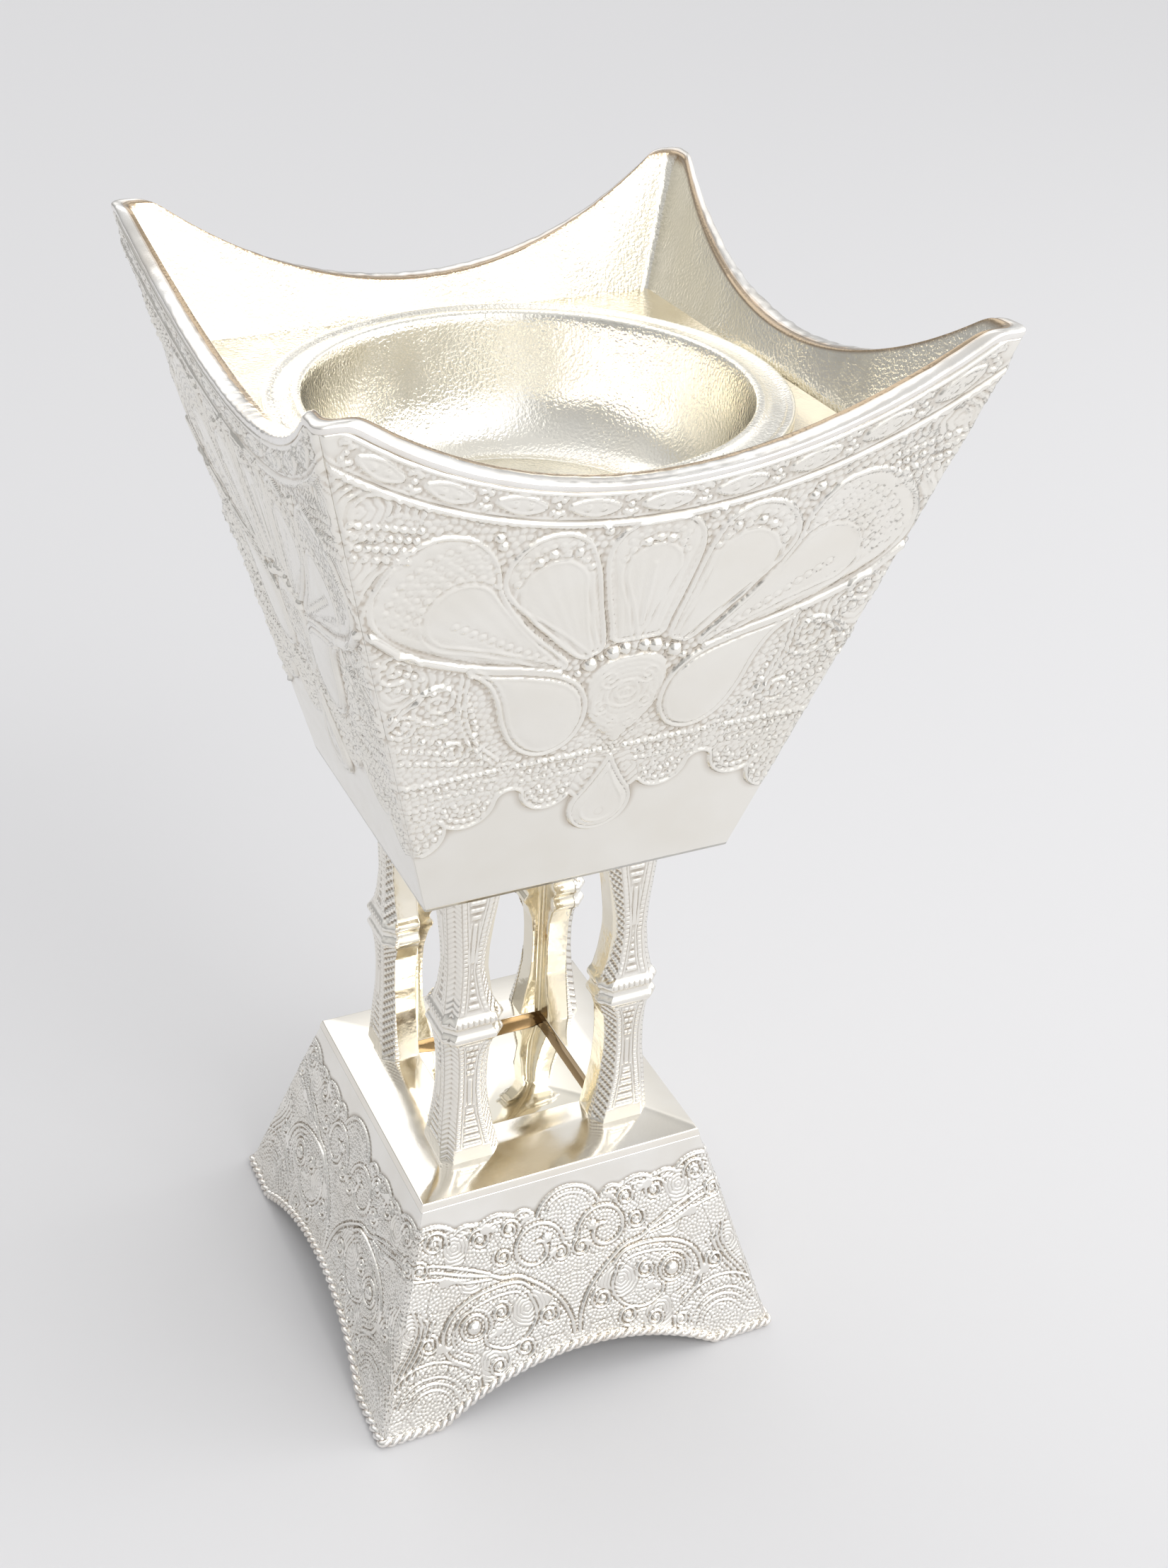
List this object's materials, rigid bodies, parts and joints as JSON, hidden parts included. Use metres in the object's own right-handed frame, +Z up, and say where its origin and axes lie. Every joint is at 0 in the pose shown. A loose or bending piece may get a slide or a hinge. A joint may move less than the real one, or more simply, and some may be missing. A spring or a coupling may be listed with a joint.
{
  "type": "square footed incense burner",
  "caption": "Square footed tabletop incense burner: flared base, open corner posts over a polished plate, horned bowl with lift-out charcoal pan.",
  "frame": {"origin": "centre of the square footprint, on the surface the feet stand on", "axes": "+Z up; the wide front face looks along -Y, the left face along -X"},
  "size_m": [0.0792, 0.0792, 0.156],
  "materials": {
    "silver_embossed": "silver plate, embossed, soft satin with a trace of brown in the hollows",
    "silver_rope": "silver plate, rubbed bright on the beads",
    "silver_satin": "plain silver plate, satin, faintly warm",
    "silver_cast": "cast and silver plated, fine beaded relief",
    "polished_plate": "mirror polish, pale gold tint",
    "gilt_plain": "polished, pale gold tint",
    "gilt_liner": "polished with orange-peel grain, pale champagne tint",
    "gilt_tray": "mirror polish, pale champagne tint",
    "gilt_pan": "polished with orange-peel grain, pale champagne tint",
    "screw_steel": "plain steel"
  },
  "bodies": {
    "stand": {"base_panel_front": "silver_embossed", "base_panel_back": "silver_embossed", "base_panel_left": "silver_embossed", "base_panel_right": "silver_embossed", "base_rope_trim": "silver_rope", "base_deck": "silver_satin", "mirror_plate": "polished_plate", "post_front_left": "silver_cast", "post_front_right": "silver_cast", "post_back_left": "silver_cast", "post_back_right": "silver_cast", "backing_front_left": "gilt_plain", "backing_front_right": "gilt_plain", "backing_back_left": "gilt_plain", "backing_back_right": "gilt_plain", "lower_post_screws": "screw_steel", "upper_post_screws": "screw_steel", "bowl_floor": "silver_satin", "bowl_panel_front": "silver_embossed", "bowl_panel_back": "silver_embossed", "bowl_panel_left": "silver_embossed", "bowl_panel_right": "silver_embossed", "bowl_liner": "gilt_liner", "tray_plate": "gilt_tray"},
    "pan": {"charcoal_pan": "gilt_pan"}
  },
  "joints": [
    {"name": "pan_lift", "type": "slide", "parent": "stand", "child": "pan", "axis": [0, 0, 1], "range_m": [0, 0.045]}
  ]
}
